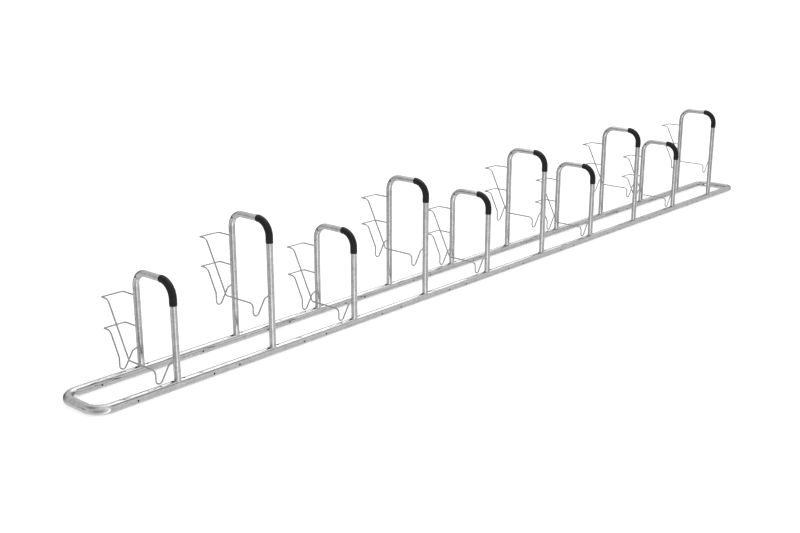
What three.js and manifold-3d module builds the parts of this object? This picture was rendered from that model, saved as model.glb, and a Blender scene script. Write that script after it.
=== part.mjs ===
// High and low bicycle rack for ten bicycles, welded from galvanised steel tube and rod.
// Two long rails and two end bows lie on the ground as one closed loop. Ten inverted-U hoops stand
// across the rails, low and high in turn. Each hoop carries two bent rods on its left side, which
// hold a front wheel, and a rubber sleeve over its front top bend.
// Millimetres, +X along the row of places, +Y from the front of the rack to its back, +Z up.
// The origin is on the ground, under the middle of the whole rack.

import * as THREE from 'three';
import { mergeVertices } from 'three/addons/utils/BufferGeometryUtils.js';
import Module from 'manifold-3d';

// Row of places
const place_count = 10;
const place_pitch = 600;
const end_overhang = 445;
const rail_gauge = 282;
const tier_rise = 177.5;

// Base loop of round tube
const base_tube_diameter = 48.3;
const base_tube_wall = 2.6;
const base_bend_radius = 84;
const bow_straight = 20;

// Hoops of round tube
const hoop_tube_diameter = 33.7;
const hoop_tube_wall = 2.6;
const hoop_bend_radius = 80;
const low_hoop_height = 543;

// Rubber sleeve over the front top bend
const sleeve_wall = 2;
const sleeve_leg_run = 34;
const sleeve_top_run = 2;

// Bent rods of the wheel holders
const rod_diameter = 8;
const holder_reach = 121;
const back_stop_reach = 111;
const back_return_run = 51;
const upper_loop_drop = 142.5;
const loop_spacing = 157;
const foot_setback = 79;
const run_rise = 67.5;
const knee_rise = 63;
const cradle_clearance = 6.5;
const cradle_bend_radius = 19;
const shoulder_reach = 43;
const shoulder_rise = 77;
const rod_end_rise = 86;

// Bend radii along the rods, measured at the rod's centre line
const back_bend_radius = 14;
const corner_bend_radius = 6;
const return_bend_radius = 32;
const foot_bend_radius = 19;
const nose_bend_radius = 22;
const knee_bend_radius = 24;
const shoulder_bend_radius = 20;

// Vent holes for the zinc bath
const vent_diameter = 10;
const crest_vent_diameter = 16;
const crest_vent_offset = 33;
const side_vent_shares = [1 / 3, 3 / 5];
const bend_vent_share = 1 / 2;
const end_vent_share = 9 / 20;

// Gap that separate pieces keep to each other
const joint_gap = 0.3;
const cut_overrun = 5;

// Faceting of round sections and bends
const base_sides = 16;
const hoop_sides = 12;
const bore_sides = 8;
const rod_sides = 6;
const vent_sides = 6;
const tube_turn_per_step = Math.PI / 10;
const rod_turn_per_step = Math.PI / 4;
const turn_slack = 1e-6;

const base_radius = base_tube_diameter / 2;
const hoop_radius = hoop_tube_diameter / 2;
const rod_radius = rod_diameter / 2;
const vent_radius = vent_diameter / 2;
const crest_vent_radius = crest_vent_diameter / 2;
const cradle_height = base_tube_diameter + cradle_clearance + rod_radius;
const back_stop_place = rail_gauge + back_stop_reach;
const row_half = (place_count - 1) * place_pitch / 2;
const bow_reach = base_bend_radius + bow_straight;
const rail_half = row_half + end_overhang - bow_reach;
const front_axis_y = (base_radius - back_stop_place - rod_radius) / 2;
const rear_axis_y = front_axis_y + rail_gauge;

const X = new THREE.Vector3(1, 0, 0);
const Z = new THREE.Vector3(0, 0, 1);
const at = (x, y, z) => new THREE.Vector3(x, y, z);

const wasm = await Module();
wasm.setup();

// A closed surface as a solid that can be joined and cut
const solidOf = (geometry) => {
  const bare = geometry.clone();
  bare.deleteAttribute('normal');
  bare.deleteAttribute('uv');
  const merged = mergeVertices(bare);
  return new wasm.Manifold(new wasm.Mesh({
    numProp: merged.attributes.position.itemSize,
    vertProperties: Float32Array.from(merged.attributes.position.array),
    triVerts: Uint32Array.from(merged.index.array),
  }));
};

// A cut solid as a surface again
const geometryOf = (solid) => {
  const mesh = solid.getMesh();
  const geometry = new THREE.BufferGeometry();
  geometry.setAttribute('position', new THREE.BufferAttribute(mesh.vertProperties, mesh.numProp));
  geometry.setIndex(new THREE.BufferAttribute(mesh.triVerts, 1));
  geometry.computeVertexNormals();
  return geometry;
};

// Centre line given by stations, each a place and a heading, so that every station carries one section
class Route extends THREE.Curve {
  constructor(stations) {
    super();
    this.stations = stations;
    this.steps = stations.length - 1;
  }

  getPointAt(share, target = new THREE.Vector3()) {
    return target.copy(this.stations[Math.round(share * this.steps)].place);
  }

  getTangentAt(share, target = new THREE.Vector3()) {
    return target.copy(this.stations[Math.round(share * this.steps)].heading);
  }
}

// Stations along straight runs between corners, each corner rounded to its own bend radius
const routeThrough = (corners, radii, turn_per_step) => {
  const stations = [];
  const first_heading = corners[1].clone().sub(corners[0]).normalize();
  stations.push({ place: corners[0], heading: first_heading });
  radii.forEach((radius, index) => {
    const corner = corners[index + 1];
    const before = corner.clone().sub(corners[index]).normalize();
    const after = corners[index + 2].clone().sub(corner).normalize();
    const turn = before.angleTo(after);
    const axis = before.clone().cross(after).normalize();
    const trim = radius * Math.tan(turn / 2);
    const start = corner.clone().addScaledVector(before, -trim);
    const arm = before.clone().cross(axis).multiplyScalar(radius);
    const centre = start.clone().sub(arm);
    const steps = Math.ceil(turn / turn_per_step - turn_slack);
    for (let step = 0; step <= steps; step += 1) {
      const angle = turn * step / steps;
      const place = arm.clone().applyAxisAngle(axis, angle).add(centre);
      stations.push({ place, heading: before.clone().applyAxisAngle(axis, angle) });
    }
  });
  const last = corners[corners.length - 1];
  const last_heading = last.clone().sub(corners[corners.length - 2]).normalize();
  stations.push({ place: last, heading: last_heading });
  return new Route(stations);
};

// The same centre line with both ends moved along their headings
const lengthened = (route, extra) => {
  const stations = route.stations.map((station) => ({ ...station }));
  const first = stations[0];
  const last = stations[stations.length - 1];
  first.place = first.place.clone().addScaledVector(first.heading, -extra);
  last.place = last.place.clone().addScaledVector(last.heading, extra);
  return new Route(stations);
};

// Round section as a polygon whose flats touch the circle, with one flat square to each section axis
const roundSection = (radius, sides) => {
  const corner_radius = radius / Math.cos(Math.PI / sides);
  const corners = [];
  for (let side = 0; side < sides; side += 1) {
    const angle = Math.PI / 2 + (side + 1 / 2) * 2 * Math.PI / sides;
    corners.push(new THREE.Vector2(Math.cos(angle), Math.sin(angle)).multiplyScalar(corner_radius));
  }
  return new THREE.Shape(corners);
};

const swept = (route, radius, sides) => new THREE.ExtrudeGeometry(roundSection(radius, sides), {
  steps: route.steps,
  extrudePath: route,
  bevelEnabled: false,
});

// Tube with open ends: an outer sweep less a longer bore
const tube = (route, radius, wall, sides, inner_sides) => {
  const bore = swept(lengthened(route, cut_overrun), radius - wall, inner_sides);
  return solidOf(swept(route, radius, sides)).subtract(solidOf(bore));
};

// Drill that lies along Y, with two corners of its section on the X axis
const drill = (radius, length) => new THREE.CylinderGeometry(
  radius, radius, length, vent_sides, 1, false, Math.PI / 2,
);

const sideDrill = (x) => solidOf(drill(vent_radius, base_radius).translate(x, -base_radius, 0));

const crestDrill = (x) => {
  const bit = drill(crest_vent_radius, base_radius).rotateX(Math.PI / 2);
  return solidOf(bit.translate(x, 0, base_radius));
};

const drillAll = (solid, drills) => drills.reduce((cut, tool) => cut.subtract(tool), solid);

const placeX = (place) => (place - (place_count - 1) / 2) * place_pitch;

// Long rail: crest vents beside every hoop foot, side vents in every bay, all on the rail's front
const railGeometry = () => {
  const half = rail_half - joint_gap / 2;
  const route = new Route([
    { place: at(-half, 0, 0), heading: X },
    { place: at(half, 0, 0), heading: X },
  ]);
  const drills = [];
  const room = half - vent_diameter;
  for (let place = 0; place < place_count; place += 1) {
    drills.push(crestDrill(placeX(place) - crest_vent_offset));
    drills.push(crestDrill(placeX(place) + crest_vent_offset));
  }
  for (let bay = -1; bay < place_count; bay += 1) {
    const starts = side_vent_shares.map((share) => placeX(bay) + share * place_pitch);
    starts.filter((x) => Math.abs(x) < room).forEach((x) => drills.push(sideDrill(x)));
  }
  const blank = tube(route, base_radius, base_tube_wall, base_sides, base_sides);
  return geometryOf(drillAll(blank, drills));
};

// End bow: two quarter bends and the short end tube between them, vented on its inner side
const bowGeometry = () => {
  const start = joint_gap / 2;
  const route = routeThrough(
    [at(start, 0, 0), at(bow_reach, 0, 0), at(bow_reach, rail_gauge, 0), at(start, rail_gauge, 0)],
    [base_bend_radius, base_bend_radius],
    tube_turn_per_step,
  );
  const vent = drill(vent_radius, base_radius).rotateZ(Math.PI / 2);
  vent.translate(bow_reach - base_radius, rail_gauge * end_vent_share, 0);
  const blank = tube(route, base_radius, base_tube_wall, base_sides, base_sides);
  return geometryOf(blank.subtract(solidOf(vent)));
};

// Centre line of a hoop, up the front leg, back along the top and down the rear leg
const hoopRoute = (top, leg_start) => routeThrough(
  [at(0, 0, leg_start), at(0, 0, top), at(0, rail_gauge, top), at(0, rail_gauge, leg_start)],
  [hoop_bend_radius, hoop_bend_radius],
  tube_turn_per_step,
);

// Rail shape that a hoop foot is notched to, with the gap to the real rail
const railNotch = (y) => {
  const half = hoop_radius + cut_overrun;
  const route = new Route([
    { place: at(-half, y, base_radius), heading: X },
    { place: at(half, y, base_radius), heading: X },
  ]);
  return solidOf(swept(route, base_radius + joint_gap, base_sides));
};

// Hoop: a bent tube, notched to both rails, with a vent in the left side of its rear top bend
const hoopGeometry = (height) => {
  const top = height - hoop_radius;
  const blank = tube(hoopRoute(top, base_radius), hoop_radius, hoop_tube_wall, hoop_sides, bore_sides);
  const turn = bend_vent_share * Math.PI / 2;
  const y = rail_gauge - hoop_bend_radius * (1 - Math.cos(turn));
  const z = top - hoop_bend_radius * (1 - Math.sin(turn));
  const vent = drill(vent_radius, hoop_radius).rotateZ(Math.PI / 2).translate(-hoop_radius, y, z);
  return geometryOf(drillAll(blank, [railNotch(0), railNotch(rail_gauge), solidOf(vent)]));
};

// Sleeve: a rubber tube over the front top bend, with its ends on the leg and on the top
const sleeveGeometry = (height) => {
  const top = height - hoop_radius;
  const leg_end = at(0, 0, top - hoop_bend_radius - sleeve_leg_run);
  const top_end = at(0, hoop_bend_radius + sleeve_top_run, top);
  const route = routeThrough([leg_end, at(0, 0, top), top_end], [hoop_bend_radius], tube_turn_per_step);
  const outer = hoop_radius + joint_gap + sleeve_wall;
  return geometryOf(tube(route, outer, sleeve_wall, hoop_sides, hoop_sides));
};

// Cradle: the rod falls down the outer side, turns up through a round bottom and leans in to the leg.
// Its sides would meet at a corner below the round bottom, which is worked out from the bend's centre.
const cradleCorners = (y, bottom) => {
  const shoulder = at(-shoulder_reach, y, bottom + shoulder_rise);
  const centre = at(-holder_reach + cradle_bend_radius, y, bottom + cradle_bend_radius);
  const span = shoulder.clone().sub(centre);
  const lean = Math.acos(cradle_bend_radius / span.length()) - Math.atan2(span.z, span.x);
  const corner = at(-holder_reach, y, shoulder.z - (holder_reach - shoulder_reach) / Math.tan(lean));
  const end = at(-hoop_radius - joint_gap, y, bottom + rod_end_rise);
  return [corner, shoulder, end];
};

// Loop behind the rear leg: back, across to the left and forward again
const loopCorners = (height) => [
  at(0, rail_gauge + hoop_radius + joint_gap, height),
  at(0, back_stop_place, height),
  at(-holder_reach, back_stop_place, height),
  at(-holder_reach, back_stop_place - back_return_run, height),
];

// A rod through its corners, whose last section lies flat against the left side of a leg
const rodGeometry = (corners, radii) => {
  const route = routeThrough(corners, radii, rod_turn_per_step);
  route.stations[route.steps].heading = X;
  return geometryOf(solidOf(swept(route, rod_radius, rod_sides)));
};

// Upper rod: the high back stop, the long fall, the low run forward and the front cradle
const upperRodGeometry = (rise) => {
  const bottom = cradle_height + rise;
  const run = bottom + run_rise;
  const corners = [
    ...loopCorners(low_hoop_height - upper_loop_drop + rise),
    at(-holder_reach, rail_gauge - foot_setback, run),
    at(-holder_reach, 0, run),
    ...cradleCorners(0, bottom),
  ];
  return rodGeometry(corners, [
    back_bend_radius, corner_bend_radius, return_bend_radius, foot_bend_radius,
    nose_bend_radius, cradle_bend_radius, shoulder_bend_radius,
  ]);
};

// Lower rod: the low back stop, the short fall and the rear cradle
const lowerRodGeometry = (rise) => {
  const bottom = cradle_height + rise;
  const corners = [
    ...loopCorners(low_hoop_height - upper_loop_drop - loop_spacing + rise),
    at(-holder_reach, rail_gauge, bottom + knee_rise),
    ...cradleCorners(rail_gauge, bottom),
  ];
  return rodGeometry(corners, [
    back_bend_radius, corner_bend_radius, return_bend_radius, knee_bend_radius,
    cradle_bend_radius, shoulder_bend_radius,
  ]);
};

const finish = (color, roughness, metalness) => new THREE.MeshStandardMaterial({
  color,
  roughness,
  metalness,
});
const galvanised_base = finish(0xb6b7b6, 0.38, 0.85);
const galvanised_tube = finish(0xb2b3b2, 0.42, 0.85);
const galvanised_rod = finish(0xa6a7a6, 0.4, 0.85);
const black_rubber = finish(0x1f1f20, 0.6, 0);

const rack = new THREE.Group();

const addPiece = (name, geometry, material, place) => {
  const mesh = new THREE.Mesh(geometry, material);
  mesh.name = name;
  mesh.position.copy(place);
  rack.add(mesh);
  return mesh;
};

// Base loop
const rail = railGeometry();
addPiece('front_rail', rail, galvanised_base, at(0, front_axis_y, base_radius));
addPiece('rear_rail', rail, galvanised_base, at(0, rear_axis_y, base_radius));

const bow = bowGeometry();
const right_start = at(rail_half, front_axis_y, base_radius);
const left_start = at(-rail_half, rear_axis_y, base_radius);
addPiece('right_end_bow', bow, galvanised_base, right_start);
addPiece('left_end_bow', bow, galvanised_base, left_start).setRotationFromAxisAngle(Z, Math.PI);

// Hoops, sleeves and wheel holders, low and high in turn
const tiers = [0, tier_rise].map((rise) => ({
  hoop: hoopGeometry(low_hoop_height + rise),
  sleeve: sleeveGeometry(low_hoop_height + rise),
  upper_rod: upperRodGeometry(rise),
  lower_rod: lowerRodGeometry(rise),
}));

for (let place = 0; place < place_count; place += 1) {
  const tier = tiers[place % tiers.length];
  const number = String(place + 1).padStart(2, '0');
  const spot = at(placeX(place), front_axis_y, 0);
  addPiece(`hoop_${number}`, tier.hoop, galvanised_tube, spot);
  addPiece(`sleeve_${number}`, tier.sleeve, black_rubber, spot);
  addPiece(`upper_rod_${number}`, tier.upper_rod, galvanised_rod, spot);
  addPiece(`lower_rod_${number}`, tier.lower_rod, galvanised_rod, spot);
}

export default rack;
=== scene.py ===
"""Dresses the high and low bicycle rack: smooth galvanised tubes and rods with real vent holes,
weld beads at the joints, rubber sleeves, a white floor and a soft studio dome. Lengths are in
metres."""

import math

import bpy
import numpy as np
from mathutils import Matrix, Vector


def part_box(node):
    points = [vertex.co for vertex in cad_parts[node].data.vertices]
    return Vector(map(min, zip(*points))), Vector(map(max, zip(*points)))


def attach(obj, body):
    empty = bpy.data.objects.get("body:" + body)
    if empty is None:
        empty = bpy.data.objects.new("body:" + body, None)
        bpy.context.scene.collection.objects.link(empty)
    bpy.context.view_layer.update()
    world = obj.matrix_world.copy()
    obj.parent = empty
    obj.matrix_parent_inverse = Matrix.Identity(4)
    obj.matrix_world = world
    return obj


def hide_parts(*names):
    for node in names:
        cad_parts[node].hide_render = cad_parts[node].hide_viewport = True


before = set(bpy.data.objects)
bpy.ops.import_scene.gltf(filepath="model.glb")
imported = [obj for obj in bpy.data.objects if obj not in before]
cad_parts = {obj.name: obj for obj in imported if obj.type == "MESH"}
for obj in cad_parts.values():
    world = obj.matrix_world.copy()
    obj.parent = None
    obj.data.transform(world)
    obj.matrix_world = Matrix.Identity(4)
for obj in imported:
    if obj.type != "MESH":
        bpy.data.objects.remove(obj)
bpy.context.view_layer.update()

# Row of places
PLACES = 10
PITCH = 0.600
TIER_RISE = 0.1775
GAUGE = 0.282
ROW_HALF = 0.5 * (PLACES - 1) * PITCH
ROW_START = -ROW_HALF
FRONT_Y = 0.5 * sum(corner.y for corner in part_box("front_rail"))
REAR_Y = FRONT_Y + GAUGE

# Base loop
BASE_RADIUS = 0.02415
BASE_WALL = 0.0026
BASE_BEND = 0.084
BOW_REACH = 0.104
END_OVERHANG = 0.445
RAIL_HALF = ROW_HALF + END_OVERHANG - BOW_REACH

# Hoops, whose feet stop a small gap above the rails, and sleeves, which lie a hair off the hoops
HOOP_RADIUS = 0.01685
HOOP_WALL = 0.0026
HOOP_BEND = 0.080
LOW_HEIGHT = 0.543
LOW_TOP = LOW_HEIGHT - HOOP_RADIUS
FOOT_GAP = 0.0003
SLEEVE_FIT = 0.0001
SLEEVE_INNER = HOOP_RADIUS + SLEEVE_FIT
SLEEVE_OUTER = 0.01915
SLEEVE_EDGE = 0.0009
SLEEVE_LEG_RUN = 0.034
SLEEVE_TOP_RUN = 0.002

# Rods of the wheel holders: their ends sink a little into the legs
ROD_RADIUS = 0.004
REACH = 0.121
BACK_REACH = 0.111
BACK = GAUGE + BACK_REACH
RETURN_RUN = 0.051
UPPER_LOOP = 0.4005
LOWER_LOOP = 0.2435
CRADLE = 0.0588
RUN_HEIGHT = CRADLE + 0.0675
FOOT_SETBACK = 0.079
KNEE_HEIGHT = CRADLE + 0.063
CRADLE_BEND = 0.019
SHOULDER_REACH = 0.043
SHOULDER_HEIGHT = CRADLE + 0.077
ROD_END_HEIGHT = CRADLE + 0.086
ROD_SINK = 0.001
LOOP_BENDS = (0.014, 0.006, 0.032)
FOOT_BENDS = (0.019, 0.022)
KNEE_BEND = 0.024
SHOULDER_BEND = 0.020

# Vent holes, each in a window of quads left out of the tube's grid
VENT_RADIUS = 0.005
CREST_VENT_RADIUS = 0.008
VENT_LIP = 0.0004
WINDOW_HALF = 3
WINDOW_STEP = 0.003
CREST_OFFSET = 0.033
SIDE_SHARES = (1 / 3, 3 / 5)
END_VENT = 0.45 * GAUGE

# Weld beads: radii, how far their lines float above the tubes and rods, and their ripple
FOOT_BEAD = 0.0021
ROD_BEAD = 0.0014
FOOT_FLOAT = 0.0004
ROD_FLOAT = 0.0003
LEG_FLOAT = 0.0002
RIPPLE_SHARE = 0.1
RIPPLE_TURN = math.pi / 2

# Steps of the round sections, the lines of the beads, the sleeve's rounded edge and the bends
BASE_SIDES = 48
HOOP_SIDES = 36
ROD_SIDES = 20
BEAD_SIDES = 12
FOOT_BEAD_STEPS = 96
ROD_BEAD_STEPS = 40
EDGE_STEPS = 5
BEND_STEP = math.radians(5)
# From this angle on an edge is shaded sharp
SHARP_EDGE = math.radians(40)
# Stations are rounded to so many decimals, and none lies closer to the last one than this
ROUNDING = 7
SHORTEST_STEP = 1e-6


def turned(vectors, axis, angles):
    """Vectors turned about a unit axis: v cos a + (k x v) sin a + k (k . v) (1 - cos a)."""
    cosine, sine = np.cos(angles)[:, None], np.sin(angles)[:, None]
    along = (vectors @ axis) * axis
    return vectors * cosine + np.cross(axis, vectors) * sine + along * (1 - cosine)


def unit(vectors):
    return vectors / np.linalg.norm(vectors, axis=-1, keepdims=True)


class Route:
    """A centre line of straight runs and round bends, read at any length s along it.

    On a run the place is start + s * heading. On a bend it is centre + arm, where the arm, the
    heading and the side all turn about the bend's axis by s / radius, so sections never twist.
    """

    def __init__(self, corners, radii, side):
        corners = np.array(corners, float)
        side = np.array(side, float)
        self.runs = []
        place, length = corners[0], 0.0
        for index in range(1, len(corners)):
            heading = unit(corners[index] - place)
            turn = 0.0
            if index < len(corners) - 1:
                onward = unit(corners[index + 1] - corners[index])
                turn = math.acos(np.clip(heading @ onward, -1, 1))
                radius = radii[index - 1]
            trim = radius * math.tan(turn / 2) if turn else 0.0
            straight = np.linalg.norm(corners[index] - place) - trim
            self.runs.append((length, length + straight, place, heading, side, None, 0.0))
            length += straight
            place = place + straight * heading
            if turn:
                axis = unit(np.cross(heading, onward))
                arc = radius * turn
                self.runs.append((length, length + arc, place, heading, side, axis, radius))
                length += arc
                side = turned(side[None], axis, np.array([turn]))[0]
                place = corners[index] + trim * onward

    def read(self, s):
        """Place, heading and side at each s."""
        place, heading, side = (np.empty((len(s), 3)) for _ in range(3))
        starts = np.array([run[0] for run in self.runs[1:]])
        nearest = np.searchsorted(starts, s)
        for index, (start, _, first, ahead, beside, axis, radius) in enumerate(self.runs):
            here = nearest == index
            along = s[here] - start
            if axis is None:
                place[here] = first + along[:, None] * ahead
                heading[here] = ahead
                side[here] = beside
            else:
                arm = np.cross(ahead, axis) * radius
                angle = along / radius
                place[here] = first - arm + turned(arm, axis, angle)
                heading[here] = turned(ahead, axis, angle)
                side[here] = turned(beside, axis, angle)
        return place, heading, side

    def stations(self, extra=()):
        """Lengths of the ends of all runs, even steps through the bends, and any extra lengths."""
        marks = [np.array(extra, float).ravel()]
        for start, end, _, _, _, axis, radius in self.runs:
            steps = 1 if axis is None else math.ceil((end - start) / radius / BEND_STEP)
            marks.append(np.linspace(start, end, steps + 1))
        marks = np.unique(np.round(np.concatenate(marks), ROUNDING))
        return marks[np.append(True, np.diff(marks) > SHORTEST_STEP)]

    def surface(self, s, angle, radius):
        """Points at an angle round the centre line: place + radius (cos a side + sin a across)."""
        place, heading, side = self.read(np.ravel(s))
        across = np.cross(heading, side)
        shape = np.broadcast(s, angle, radius).shape
        cosine, sine = np.cos(angle), np.sin(angle)
        place, side, across = (part.reshape(np.shape(s) + (3,)) for part in (place, side, across))
        spoke = cosine[..., None] * side + sine[..., None] * across
        return np.broadcast_to(place + np.asarray(radius)[..., None] * spoke, shape + (3,))


def circle(steps):
    """Even angles once round."""
    return 2 * np.pi * np.arange(steps) / steps


def band(first, second):
    """Quads between two closed rings of vertex numbers, taken in step."""
    corners = [first, second, np.roll(second, -1, -1), np.roll(first, -1, -1)]
    return np.stack(corners, -1).reshape(-1, 4)


def open_skin(number):
    """Quads between each ring of a table of vertex numbers and the next, still as a table."""
    after = np.roll(number, -1, 1)
    return np.stack([number[:-1], after[:-1], after[1:], number[1:]], -1)


def closed_skin(rings, sides):
    """Quads of a grid whose last ring meets the first one again."""
    number = np.arange(rings * sides).reshape(rings, sides)
    after = np.roll(number, -1, 1)
    along = np.roll(number, -1, 0)
    return np.stack([number, after, np.roll(along, -1, 1), along], -1).reshape(-1, 4)


def make(name, points, quads, material, slot, *nodes, inside=None):
    """A mesh object from arrays of points and quads, that stands for the CAD nodes named.

    Inside is 1 at the points of a tube's unlit inner skin and vent walls, and 0 elsewhere.
    """
    points, quads = np.asarray(points).reshape(-1, 3), np.asarray(quads)
    mesh = bpy.data.meshes.new(name)
    mesh.vertices.add(len(points))
    mesh.vertices.foreach_set("co", points.astype(np.float32).ravel())
    mesh.loops.add(quads.size)
    mesh.loops.foreach_set("vertex_index", quads.astype(np.int32).ravel())
    mesh.polygons.add(len(quads))
    mesh.polygons.foreach_set("loop_start", np.arange(0, quads.size, 4, dtype=np.int32))
    mesh.polygons.foreach_set("use_smooth", np.ones(len(quads), bool))
    mesh.update(calc_edges=True)
    mesh.validate()
    if inside is not None:
        mesh.attributes.new("inside", "FLOAT", "POINT").data.foreach_set("value", inside)
    mesh.set_sharp_from_angle(angle=SHARP_EDGE)
    mesh.materials.append(material)
    piece = bpy.data.objects.new(name, mesh)
    bpy.context.scene.collection.objects.link(piece)
    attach(piece, "root")
    if nodes:
        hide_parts(*nodes)
    return piece


# Outline of the square of quads that a vent hole takes out of a tube, and its corners' bearings
WINDOW_SIDE = np.arange(-WINDOW_HALF, WINDOW_HALF)
WINDOW_END = np.full(2 * WINDOW_HALF, WINDOW_HALF)
WINDOW_ALONG = np.concatenate([WINDOW_SIDE, WINDOW_END, -WINDOW_SIDE, -WINDOW_END])
WINDOW_ROUND = np.roll(WINDOW_ALONG, 2 * WINDOW_HALF)
WINDOW_BEARING = np.arctan2(WINDOW_ROUND, WINDOW_ALONG)


def tube(route, outer, wall, sides, vents=(), rail_ys=()):
    """Points and quads of an open tube, an outer and an inner skin joined at both ends.

    Both skins are grids of stations along the route by angles round it. Round each vent, given as
    (length, column, radius), the grid leaves out a window, and rings of points carry its outline
    to a circle, over a small lip, through the wall and out to the same window of the inner skin.
    The ends of a tube that stands on rails follow their round tops at a small gap:
    z = axis + sqrt(rail radius^2 - offset^2) - gap. The third result is 1 at the points inside the
    tube or in a vent, and 0 at the others.
    """
    steps = WINDOW_STEP * np.arange(-WINDOW_HALF, WINDOW_HALF + 1)
    marks = [length + steps for length, _, _ in vents]
    s = route.stations(marks)
    angle = circle(sides)
    radii = (outer, outer - wall)
    skins = [route.surface(s[:, None], angle[None], np.array(radius)).copy() for radius in radii]
    for skin in skins:
        for ring, rail_y in zip((0, -1), rail_ys):
            offset = skin[ring, :, 1] - rail_y
            skin[ring, :, 2] = BASE_RADIUS + np.sqrt(BASE_RADIUS**2 - offset**2) - FOOT_GAP
    number = np.arange(len(s) * sides).reshape(len(s), sides)
    inside = number + number.size
    keep = np.ones((len(s) - 1, sides), bool)
    points = [skin.reshape(-1, 3) for skin in skins]
    inner = [np.zeros(number.size), np.ones(number.size)]
    quads = []
    count = 2 * number.size
    for length, column, bore in vents:
        row = int(np.argmin(np.abs(s - length)))
        keep[row - WINDOW_HALF : row + WINDOW_HALF, (column + WINDOW_SIDE) % sides] = False
        rows, columns = row + WINDOW_ALONG, (column + WINDOW_ROUND) % sides
        rings = [number[rows, columns]]
        for reach, depth in ((VENT_LIP, 0.0), (0.0, VENT_LIP), (0.0, wall)):
            along = (bore + reach) * np.cos(WINDOW_BEARING)
            sideways = (bore + reach) * np.sin(WINDOW_BEARING)
            around = angle[column] + np.arcsin(sideways / (outer - depth))
            points.append(route.surface(length + along, around, np.array(outer - depth)))
            inner.append(np.full(len(along), float(depth > 0)))
            rings.append(count + np.arange(len(along)))
            count += len(along)
        rings.append(inside[rows, columns])
        quads += [band(first, second) for first, second in zip(rings, rings[1:])]
    outside = open_skin(number)[keep]
    quads += [outside, (outside + number.size)[:, ::-1]]
    quads += [band(number[0], inside[0]), band(inside[-1], number[-1])]
    return np.concatenate(points), np.concatenate(quads), np.concatenate(inner)


def rod(route, radius, sides):
    """Points and quads of a solid rod: rings along the route, closed by a disc at both ends."""
    s = route.stations()
    angle = circle(sides)
    rings = route.surface(s[:, None], angle[None], np.array(radius))
    caps = [route.surface(s[[end], None], angle[None], np.array(0.0)) for end in (0, -1)]
    rings = np.concatenate([caps[0], rings, caps[1]])
    number = np.arange(rings.shape[0] * sides).reshape(-1, sides)
    return rings.reshape(-1, 3), open_skin(number).reshape(-1, 4)


def sleeve(route, start, end, sides):
    """Points and quads of a sleeve: a closed outline of (length, radius) carried round the route.

    The outline runs along the outside, turns in over a rounded edge at either end, and comes back
    along the inside.
    """
    quarter = np.linspace(0, np.pi / 2, EDGE_STEPS)
    back_off = SLEEVE_EDGE * (1 - np.sin(quarter))
    edge = SLEEVE_OUTER - SLEEVE_EDGE + SLEEVE_EDGE * np.cos(quarter)
    marks = route.stations((start, end))
    marks = marks[(marks > start + SLEEVE_EDGE) & (marks < end - SLEEVE_EDGE)]
    outside, inside = np.full(len(marks), SLEEVE_OUTER), np.full(len(marks), SLEEVE_INNER)
    length = np.concatenate([
        start + back_off[::-1], marks, end - back_off, [end], marks[::-1], [start],
    ])
    radius = np.concatenate([edge[::-1], outside, edge, [SLEEVE_INNER], inside, [SLEEVE_INNER]])
    points = route.surface(length[:, None], circle(sides)[None], radius[:, None])
    return points.reshape(-1, 3), closed_skin(len(length), sides)


def bead(centres, outward, radius):
    """Points and quads of a weld bead: a small round section carried once round a closed line.

    The section lies across the line, and swells and shrinks a little in even steps, as the
    solidified puddles of a weld do: radius (1 + share cos(turn n)) at the nth point.
    """
    count = len(centres)
    heading = unit(np.roll(centres, -1, 0) - np.roll(centres, 1, 0))
    outward = unit(outward - (outward * heading).sum(1, keepdims=True) * heading)
    across = np.cross(heading, outward)
    angle = circle(BEAD_SIDES)[None, :, None]
    ripple = 1 + RIPPLE_SHARE * np.cos(np.arange(count) * RIPPLE_TURN)
    spoke = np.cos(angle) * outward[:, None] + np.sin(angle) * across[:, None]
    points = centres[:, None] + radius * ripple[:, None, None] * spoke
    return points.reshape(-1, 3), closed_skin(count, BEAD_SIDES)


def foot_bead(x, y):
    """The bead round a hoop's foot: the line where the leg's cylinder meets the rail's."""
    turn = circle(FOOT_BEAD_STEPS)
    radius = HOOP_RADIUS + FOOT_FLOAT
    dx, dy = radius * np.cos(turn), radius * np.sin(turn)
    dz = np.sqrt((BASE_RADIUS + FOOT_FLOAT) ** 2 - dy**2)
    centres = np.stack([x + dx, y + dy, BASE_RADIUS + dz], 1)
    leg = np.stack([dx, dy, 0 * turn], 1)
    rail = np.stack([0 * turn, dy, dz], 1)
    return bead(centres, unit(leg) + unit(rail), FOOT_BEAD)


def rod_bead(x, y, z, facing):
    """The bead round a rod's end: the line where the rod's cylinder meets the leg's."""
    turn = circle(ROD_BEAD_STEPS)
    facing = np.array(facing, float)
    sideways = np.cross(facing, (0, 0, 1))
    radius = ROD_RADIUS + ROD_FLOAT
    wide, high = radius * np.cos(turn), radius * np.sin(turn)
    deep = np.sqrt((HOOP_RADIUS + LEG_FLOAT) ** 2 - wide**2)
    spoke = wide[:, None] * sideways + high[:, None] * np.array((0, 0, 1.0))
    centres = np.array((x, y, z)) + spoke + deep[:, None] * facing
    leg = wide[:, None] * sideways + deep[:, None] * facing
    return bead(centres, unit(spoke) + unit(leg), ROD_BEAD)


def joined(parts):
    """Several sets of points and quads as one."""
    offsets = np.cumsum([0] + [len(points) for points, _ in parts[:-1]])
    points = np.concatenate([points for points, _ in parts])
    return points, np.concatenate([quads + offset for (_, quads), offset in zip(parts, offsets)])


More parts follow.
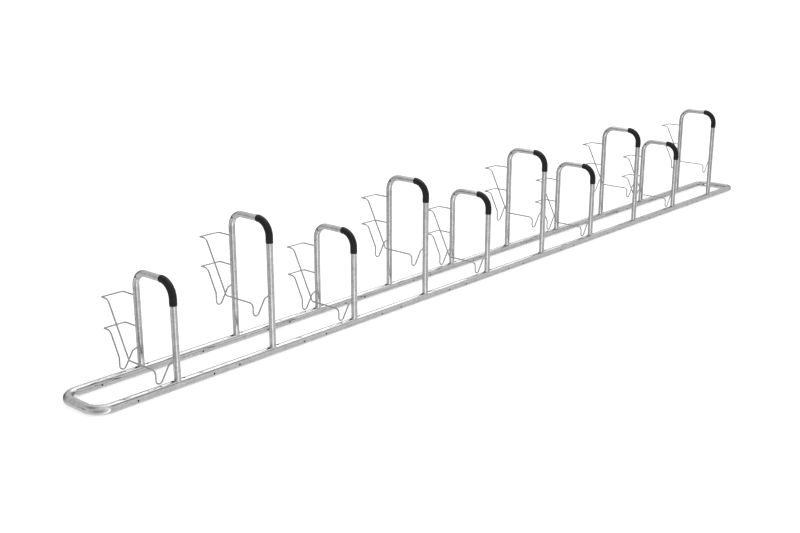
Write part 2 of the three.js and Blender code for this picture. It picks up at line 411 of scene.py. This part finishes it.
class Wire:
    """A shader socket on which Python's operators add Math nodes."""

    def __init__(self, tree, socket=None):
        self.tree, self.socket = tree, socket

    def node(self, kind, settings=(), sockets=(), out=0):
        """One node: its settings, then the values or links of its sockets, and one output."""
        made = self.tree.nodes.new(kind)
        for key, value in dict(settings).items():
            setattr(made, key, value)
        for key, value in dict(sockets).items():
            if isinstance(value, Wire):
                self.tree.links.new(value.socket, made.inputs[key])
            else:
                made.inputs[key].default_value = value
        return Wire(self.tree, made.outputs[out])

    def math(self, operation, *values):
        return self.node("ShaderNodeMath", {"operation": operation}, dict(enumerate(values)))

    def dot(self, first, second):
        setting = {"operation": "DOT_PRODUCT"}
        return self.node("ShaderNodeVectorMath", setting, {0: first, 1: second}, out="Value")

    def noise(self, where, scale, detail):
        sockets = {"Vector": where, "Scale": scale, "Detail": detail}
        return self.node("ShaderNodeTexNoise", {}, sockets)

    def __add__(self, other):
        return self.math("ADD", self, other)

    def __mul__(self, other):
        return self.math("MULTIPLY", self, other)

    def __sub__(self, other):
        return self.math("SUBTRACT", self, other)

    def __rsub__(self, other):
        return self.math("SUBTRACT", other, self)

    __radd__ = __add__
    __rmul__ = __mul__

    def blend(self, low, high):
        """From the colour low, plain or worked out, to high as this value goes from 0 to 1."""
        sockets = {0: self, 6: low if isinstance(low, Wire) else (*low, 1), 7: (*high, 1)}
        return self.node("ShaderNodeMix", {"data_type": "RGBA"}, sockets, out=2)


def material(name):
    """A new material, the wire that starts its nodes, and its principled shader's node."""
    made = bpy.data.materials.new(name)
    made.use_nodes = True
    return made, Wire(made.node_tree), made.node_tree.nodes["Principled BSDF"]


def connect(start, shader, **links):
    """Wires and plain numbers into a shader's sockets, named with _ for each space."""
    for key, value in links.items():
        socket = shader.inputs[key.replace("_", " ")]
        if isinstance(value, Wire):
            start.tree.links.new(value.socket, socket)
        else:
            socket.default_value = value


# Zinc: how many grains, clouds, waves and specks lie in a metre, and how soft the edges of the
# grains are
GRAIN_SCALE = 105.0
GRAIN_SMOOTHNESS = 0.5
CLOUD_SCALE = 21.0
WAVE_SCALE = 55.0
SPECK_SCALE = 300.0
# How much of each goes into the tone, from dark to light, and into the roughness
GRAIN_TONE = 0.45
CLOUD_TONE = 1.1
SPECK_TONE = 0.25
TONE_SHIFT = 0.4
CLOUD_ROUGHNESS = 0.06
GRAIN_ROUGHNESS = 0.04
# Depth of the waves in metres, and of the specks as a share of it
WAVE_DEPTH = 0.0006
SPECK_SHARE = 0.08
# Painted shade: the inside of a tube and its vent walls get a nearly black colour
PAINTED_SHADE_INSIDE = (0.03, 0.03, 0.03)


def galvanised(name, dark, light, roughness, relief):
    """Zinc: grains, clouds and specks of tone, over a skin with slow waves and fine specks.

    The waves, about as long as a finger is wide, bend the mirror image in the tube a little.
    Inside the tube and on its vent walls the colour is painted nearly black, as shade.
    """
    made, start, shader = material(name)
    where = start.node("ShaderNodeTexCoord", out="Object")
    sockets = {"Vector": where, "Scale": GRAIN_SCALE, "Smoothness": GRAIN_SMOOTHNESS}
    grain = start.node("ShaderNodeTexVoronoi", {"feature": "SMOOTH_F1"}, sockets, out="Color")
    grain = start.node("ShaderNodeSeparateColor", {}, {0: grain})
    cloud = start.noise(where, CLOUD_SCALE, detail=4.0)
    wave = start.noise(where, WAVE_SCALE, detail=2.0)
    speck = start.noise(where, SPECK_SCALE, detail=3.0)
    tone = grain * GRAIN_TONE + cloud * CLOUD_TONE + speck * SPECK_TONE - TONE_SHIFT
    tone = start.node("ShaderNodeClamp", {}, {0: tone})
    inside = start.node("ShaderNodeAttribute", {"attribute_name": "inside"}, out="Fac")
    height = wave + SPECK_SHARE * speck
    sockets = {"Strength": relief, "Distance": WAVE_DEPTH, "Height": height}
    bump = start.node("ShaderNodeBump", {}, sockets)
    connect(
        start, shader,
        # Painted shade: where the inside attribute is 1, the colour goes nearly black
        Base_Color=inside.blend(tone.blend(dark, light), PAINTED_SHADE_INSIDE),
        Metallic=1.0,
        Roughness=roughness + CLOUD_ROUGHNESS * cloud - GRAIN_ROUGHNESS * grain,
        Normal=bump,
    )
    return made


# Rubber: how many patches of bloom and grains of its skin lie in a metre, the skin's relief, and
# the roughness without bloom and what full bloom adds
BLOOM_SCALE = 30.0
RUBBER_SCALE = 900.0
RUBBER_RELIEF = 0.3
RUBBER_DEPTH = 0.0003
RUBBER_ROUGHNESS = 0.45
BLOOM_ROUGHNESS = 0.12
RUBBER_DARK = (0.008, 0.008, 0.008)
RUBBER_LIGHT = (0.014, 0.014, 0.014)


def rubber(name):
    """Moulded black rubber: nearly even, with a fine dull skin and a little bloom in patches."""
    made, start, shader = material(name)
    where = start.node("ShaderNodeTexCoord", out="Object")
    bloom = start.noise(where, BLOOM_SCALE, detail=4.0)
    skin = start.noise(where, RUBBER_SCALE, detail=2.0)
    sockets = {"Strength": RUBBER_RELIEF, "Distance": RUBBER_DEPTH, "Height": skin}
    bump = start.node("ShaderNodeBump", {}, sockets)
    connect(
        start, shader,
        Base_Color=bloom.blend(RUBBER_DARK, RUBBER_LIGHT),
        Roughness=RUBBER_ROUGHNESS + BLOOM_ROUGHNESS * bloom,
        Specular_IOR_Level=0.2,
        Normal=bump,
    )
    return made


# Each finish of zinc: its dark and light tone, its roughness and the strength of its relief
BASE_FINISH = galvanised("galvanised_base", (0.41, 0.41, 0.408), (0.57, 0.57, 0.565), 0.05, 0.05)
TUBE_FINISH = galvanised("galvanised_tube", (0.37, 0.37, 0.368), (0.61, 0.61, 0.605), 0.12, 0.5)
ROD_FINISH = galvanised("galvanised_rod", (0.25, 0.25, 0.248), (0.42, 0.42, 0.415), 0.18, 0.5)
RUBBER_FINISH = rubber("black_rubber")


def rail_pieces():
    """The two long rails, with crest vents by every foot and side vents in every bay."""
    feet = ROW_START + PITCH * np.arange(PLACES)
    crest = np.concatenate([feet - CREST_OFFSET, feet + CREST_OFFSET])
    bays = ROW_START + PITCH * np.arange(-1, PLACES)
    side = (bays[:, None] + PITCH * np.array(SIDE_SHARES)).ravel()
    side = side[np.abs(side) < RAIL_HALF - 2 * VENT_RADIUS]
    vents = [(x + RAIL_HALF, 3 * BASE_SIDES // 4, CREST_VENT_RADIUS) for x in crest]
    vents += [(x + RAIL_HALF, 0, VENT_RADIUS) for x in side]
    for name, y in (("front_rail", FRONT_Y), ("rear_rail", REAR_Y)):
        ends = [(-RAIL_HALF, y, BASE_RADIUS), (RAIL_HALF, y, BASE_RADIUS)]
        points, quads, inside = tube(
            Route(ends, (), (0, -1, 0)), BASE_RADIUS, BASE_WALL, BASE_SIDES, vents
        )
        make(f"{name}_tube", points, quads, BASE_FINISH, "galvanised_base", name, inside=inside)


def bow_pieces():
    """The two end bows; the left one is the right one turned half round."""
    for name, hand, near, far in (("right", 1, FRONT_Y, REAR_Y), ("left", -1, REAR_Y, FRONT_Y)):
        start, reach = hand * RAIL_HALF, hand * (RAIL_HALF + BOW_REACH)
        corners = [(start, near, BASE_RADIUS), (reach, near, BASE_RADIUS)]
        corners += [(reach, far, BASE_RADIUS), (start, far, BASE_RADIUS)]
        route = Route(corners, (BASE_BEND, BASE_BEND), (0, 0, 1))
        straight, quarter = BOW_REACH - BASE_BEND, BASE_BEND * math.pi / 2
        vent = straight + quarter + END_VENT - BASE_BEND
        points, quads, inside = tube(
            route, BASE_RADIUS, BASE_WALL, BASE_SIDES, [(vent, 3 * BASE_SIDES // 4, VENT_RADIUS)]
        )
        make(f"{name}_bow_tube", points, quads, BASE_FINISH, "galvanised_base", f"{name}_end_bow",
             inside=inside)


def cradle(x, y, bottom):
    """Corners of a cradle: down the outer side, up from a round bottom, and in to the leg.

    The outer side and the leaning side meet below the round bottom. The lean is the angle at which
    a line from the shoulder touches the bottom's circle: acos(r / d) - bearing of the shoulder.
    """
    rise, run = SHOULDER_HEIGHT - CRADLE - CRADLE_BEND, REACH - SHOULDER_REACH - CRADLE_BEND
    lean = math.acos(CRADLE_BEND / math.hypot(rise, run)) - math.atan2(rise, run)
    low = bottom + SHOULDER_HEIGHT - CRADLE - (REACH - SHOULDER_REACH) / math.tan(lean)
    shoulder = (x - SHOULDER_REACH, y, bottom + SHOULDER_HEIGHT - CRADLE)
    end = (x - HOOP_RADIUS + ROD_SINK, y, bottom + ROD_END_HEIGHT - CRADLE)
    return [(x - REACH, y, low), shoulder, end]


def holder_pieces(number, x, rise):
    """The two bent rods of one place."""
    def loop(height):
        back = FRONT_Y + BACK
        return [
            (x, REAR_Y + HOOP_RADIUS - ROD_SINK, height), (x, back, height),
            (x - REACH, back, height), (x - REACH, back - RETURN_RUN, height),
        ]

    run = RUN_HEIGHT + rise
    upper = loop(UPPER_LOOP + rise)
    upper += [(x - REACH, REAR_Y - FOOT_SETBACK, run), (x - REACH, FRONT_Y, run)]
    upper += cradle(x, FRONT_Y, CRADLE + rise)
    lower = loop(LOWER_LOOP + rise) + [(x - REACH, REAR_Y, KNEE_HEIGHT + rise)]
    lower += cradle(x, REAR_Y, CRADLE + rise)
    bends = {
        "upper": (upper, (*LOOP_BENDS, *FOOT_BENDS, CRADLE_BEND, SHOULDER_BEND)),
        "lower": (lower, (*LOOP_BENDS, KNEE_BEND, CRADLE_BEND, SHOULDER_BEND)),
    }
    for name, (corners, radii) in bends.items():
        points, quads = rod(Route(corners, radii, (1, 0, 0)), ROD_RADIUS, ROD_SIDES)
        make(f"{name}_rod_wire_{number}", points, quads, ROD_FINISH, "galvanised_rod",
             f"{name}_rod_{number}")


def hoop_pieces(number, x, rise):
    """One hoop with its sleeve and all the weld beads on it."""
    top = LOW_TOP + rise
    foot = BASE_RADIUS
    corners = [(x, FRONT_Y, foot), (x, FRONT_Y, top), (x, REAR_Y, top), (x, REAR_Y, foot)]
    route = Route(corners, (HOOP_BEND, HOOP_BEND), (-1, 0, 0))
    leg, bend = top - HOOP_BEND - foot, HOOP_BEND * math.pi / 2
    flat = GAUGE - 2 * HOOP_BEND
    vent = leg + bend + flat + bend / 2
    points, quads, inside = tube(
        route, HOOP_RADIUS, HOOP_WALL, HOOP_SIDES, [(vent, 0, VENT_RADIUS)], (FRONT_Y, REAR_Y)
    )
    make(f"hoop_tube_{number}", points, quads, TUBE_FINISH, "galvanised_tube", f"hoop_{number}",
         inside=inside)
    points, quads = sleeve(route, leg - SLEEVE_LEG_RUN, leg + bend + SLEEVE_TOP_RUN, HOOP_SIDES)
    make(f"sleeve_rubber_{number}", points, quads, RUBBER_FINISH, "black_rubber",
         f"sleeve_{number}")
    beads = [foot_bead(x, FRONT_Y), foot_bead(x, REAR_Y)]
    beads += [rod_bead(x, REAR_Y, height + rise, (0, 1, 0)) for height in (UPPER_LOOP, LOWER_LOOP)]
    beads += [rod_bead(x, y, ROD_END_HEIGHT + rise, (-1, 0, 0)) for y in (FRONT_Y, REAR_Y)]
    points, quads = joined(beads)
    make(f"weld_beads_{number}", points, quads, TUBE_FINISH, "galvanised_tube")


rail_pieces()
bow_pieces()
for place in range(PLACES):
    spot = ROW_START + PITCH * place
    height = TIER_RISE * (place % 2)
    hoop_pieces(f"{place + 1:02d}", spot, height)
    holder_pieces(f"{place + 1:02d}", spot, height)


# Soft fields of the dome round the rack: the axis each lies on, how much it adds to the dome's
# white, and how sharply it falls off. The dome is nowhere darker than DARKEST
DOME_FIELDS = [
    ((-0.81, 0.58, 0.00), -0.70, 25.9),
    ((-0.51, 0.17, 0.84), -0.85, 8.0),
    ((0.50, -0.37, 0.79), -0.85, 30.1),
    ((0.97, 0.24, 0.11), -0.85, 8.1),
    ((-0.07, 0.99, 0.10), -0.74, 9.5),
    ((-0.72, -0.64, -0.28), -0.83, 2.3),
    ((0.84, 0.01, -0.54), 0.79, 12.6),
    ((0.82, -0.32, -0.47), -0.43, 12.8),
    ((0.36, 0.92, -0.16), -0.85, 26.2),
    ((0.74, 0.30, 0.61), 1.50, 27.0),
]
DARKEST = 0.05

# Dull surfaces see the dome a little darker, and this one field instead of those above. It makes up
# for the loss, and lays a soft shadow along the row
DULL_LOSS = 0.3
DULL_FIELD = ((0.85, 0.0, 0.53), 2.94, 8.0)


def studio_dome():
    """White all round, with a few soft bright and dark fields that only mirror in the metal.

    Each field is a strength times max(direction . axis, 0)^sharpness.
    """
    world = bpy.data.worlds.new("studio_dome")
    bpy.context.scene.world = world
    world.use_nodes = True
    start = Wire(world.node_tree)
    direction = start.node("ShaderNodeTexCoord", out="Generated")

    def field(axis, strength, sharpness):
        axis = tuple(unit(np.array(axis, float)))
        near = start.dot(direction, axis)
        return strength * start.math("POWER", start.math("MAXIMUM", near, 0.0), sharpness)

    fields = sum(field(*row) for row in DOME_FIELDS)
    mirrored = start.node("ShaderNodeLightPath", out="Is Glossy Ray")
    dull = start.node("ShaderNodeLightPath", out="Is Diffuse Ray")
    lit = dull * (field(*DULL_FIELD) - DULL_LOSS)
    level = start.math("MAXIMUM", mirrored * fields + lit + 1, DARKEST)
    back = world.node_tree.nodes["Background"]
    world.node_tree.links.new(level.socket, back.inputs["Strength"])
    back.inputs["Color"].default_value = (1, 1, 1, 1)
    world.cycles.sampling_method = "NONE"


studio_dome()


SHEET_SIGNS = ((-1, -1), (1, -1), (1, 1), (-1, 1))


def sheet(name, corners):
    """A flat object of one quad."""
    mesh = bpy.data.meshes.new(name)
    mesh.from_pydata(corners, [], [(0, 1, 2, 3)])
    flat = bpy.data.objects.new(name, mesh)
    bpy.context.scene.collection.objects.link(flat)
    return flat


# How far a soft light's panel goes out, in widths of its glow, and how upright it may face before
# its first side is taken along x
PANEL_REACH = 2.5
UPRIGHT = 0.9


def soft_light(name, centre, facing, spread, strength):
    """A light that only mirrors in the metal: strength * exp(-(u / spread u)^2 - (v / spread v)^2).

    It adds to what lies behind it. The one below the floor stands for the mirror image of a lamp in
    a polished floor, and the metal sees it through the floor.
    """
    facing = unit(np.array(facing, float))
    level_side, plain_side = np.cross((0, 0, 1), facing), np.array((1.0, 0, 0))
    first = unit(level_side if abs(facing[2]) < UPRIGHT else plain_side)
    second = np.cross(facing, first)
    wide, high = PANEL_REACH * spread[0] * first, PANEL_REACH * spread[1] * second
    panel = sheet(name, [centre + u * wide + v * high for u, v in SHEET_SIGNS])
    made = bpy.data.materials.new(name)
    made.use_nodes = True
    made.node_tree.nodes.clear()
    start = Wire(made.node_tree)
    where = start.node("ShaderNodeTexCoord", out="Object")
    where = start.node("ShaderNodeVectorMath", {"operation": "SUBTRACT"}, {0: where, 1: centre})
    fall = 0.0
    for axis, width in ((first, spread[0]), (second, spread[1])):
        along = start.dot(where, axis / width)
        fall = along * along + fall
    level = strength * start.math("EXPONENT", 0 - fall)
    glow = start.node("ShaderNodeEmission", {}, {"Strength": level})
    clear = start.node("ShaderNodeBsdfTransparent")
    both = start.node("ShaderNodeAddShader", {}, {0: glow, 1: clear})
    end = made.node_tree.nodes.new("ShaderNodeOutputMaterial")
    made.node_tree.links.new(both.socket, end.inputs["Surface"])
    made.cycles.emission_sampling = "NONE"
    panel.data.materials.append(made)
    for ray in ("camera", "diffuse", "transmission", "shadow"):
        setattr(panel, f"visible_{ray}", False)


# Each soft light's name, centre, facing, spread and strength
SOFT_LIGHTS = [
    ("lamp_in_floor", (-3.012, -3.033, -3.319), (0.980, 0.199, 0), (2.232, 3.924), 2.527),
    ("lamp_above", (0.084, 0.112, 2.594), (0, 0, -1), (2.556, 0.993), 2.326),
]
for row in SOFT_LIGHTS:
    soft_light(*row)


# The floor: half its side, its colour for the object, and its own glow and colour for the camera
FLOOR_HALF = 40.0
FLOOR_COLOUR = (0.8, 0.8, 0.8, 1)
SEEN_GLOW = 0.66
SEEN_COLOUR = (0.571, 0.571, 0.571, 1)


def white_floor():
    """A wide floor, white to the camera, on which the rack's contact shadow stays faintly seen."""
    floor = sheet("floor", [(FLOOR_HALF * u, FLOOR_HALF * v, 0) for u, v in SHEET_SIGNS])
    made, start, shader = material("white_floor")
    connect(start, shader, Base_Color=FLOOR_COLOUR, Roughness=1.0, Specular_IOR_Level=0.0)
    white = start.node("ShaderNodeEmission", {}, {"Color": (1, 1, 1, 1), "Strength": SEEN_GLOW})
    lit = start.node("ShaderNodeBsdfDiffuse", {}, {"Color": SEEN_COLOUR})
    seen = start.node("ShaderNodeLightPath", out="Is Camera Ray")
    both = start.node("ShaderNodeAddShader", {}, {0: white, 1: lit})
    plain = Wire(start.tree, shader.outputs[0])
    look = start.node("ShaderNodeMixShader", {}, {0: seen, 1: plain, 2: both})
    start.tree.links.new(look.socket, start.tree.nodes["Material Output"].inputs["Surface"])
    floor.data.materials.append(made)
    floor.visible_glossy = False


white_floor()

# Camera at the photograph's place
lens = bpy.data.cameras.new("camera")
lens.lens = 49.722
lens.sensor_width = 36.0
lens.clip_end = 100.0
camera = bpy.data.objects.new("camera", lens)
camera.location = (-5.63275, -4.15312, 2.00873)
camera.rotation_euler = (math.radians(73.7293), math.radians(-0.0641), math.radians(-48.6457))
bpy.context.scene.collection.objects.link(camera)
bpy.context.scene.camera = camera
bpy.context.scene.view_settings.view_transform = "Standard"
